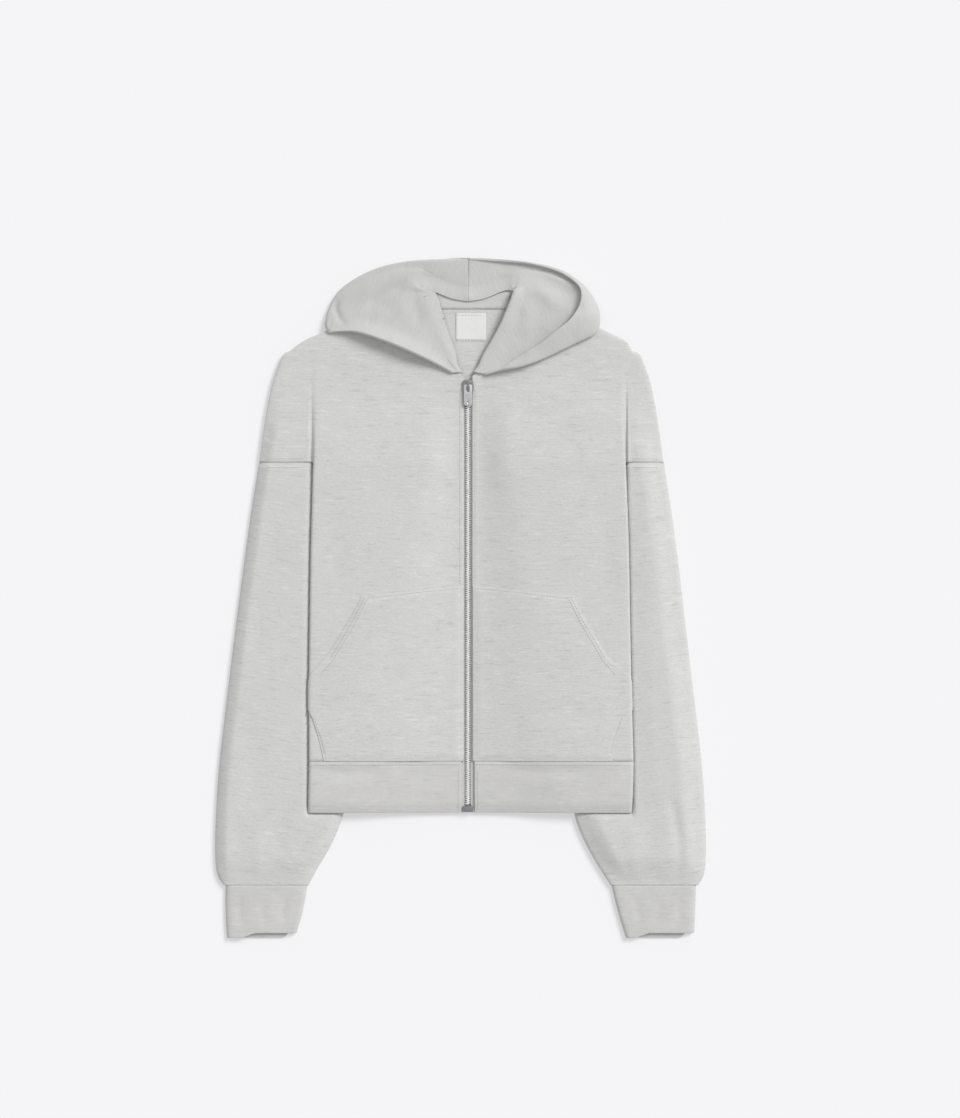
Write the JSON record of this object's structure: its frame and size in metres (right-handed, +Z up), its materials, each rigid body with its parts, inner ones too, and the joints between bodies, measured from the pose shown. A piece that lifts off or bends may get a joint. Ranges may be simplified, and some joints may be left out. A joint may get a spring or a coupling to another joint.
{
  "type": "zip up hoodie",
  "caption": "Light grey fleece zip-up hoodie laid flat on its back, sleeves tucked under the body and the hood spread open over the shoulders.",
  "frame": {"origin": "middle of the laid garment's footprint, on the surface it rests on", "axes": "+X to the viewer's right across the garment, +Y from hem to hood, +Z up from the surface"},
  "size_m": [0.5644, 0.7816, 0.0244],
  "materials": {
    "fleece": "soft heather jersey",
    "band_knit": "firm doubled knit",
    "tape": "woven tape",
    "label": "plain satin tape",
    "zip_metal": "satin silver"
  },
  "bodies": {
    "garment": {"back_panel": "fleece", "front_left": "fleece", "front_right": "fleece", "sleeve_left": "fleece", "sleeve_right": "fleece", "hood_left": "fleece", "hood_right": "fleece", "pocket_left": "fleece", "pocket_right": "fleece", "cuff_left": "band_knit", "cuff_right": "band_knit", "hem_band": "band_knit", "zip_tape_left": "tape", "zip_tape_right": "tape", "neck_tape": "tape", "neck_label": "label", "zip_chain": "zip_metal", "zip_box": "zip_metal", "zip_slider": "zip_metal"},
    "pull_tab": {"zip_pull": "zip_metal"}
  },
  "joints": [
    {"name": "pull_hinge", "type": "hinge", "parent": "garment", "child": "pull_tab", "pos_m": [0.0085, 0.2437, 0.0115], "axis": [-1, 0, 0], "range_deg": [0, 160]}
  ]
}
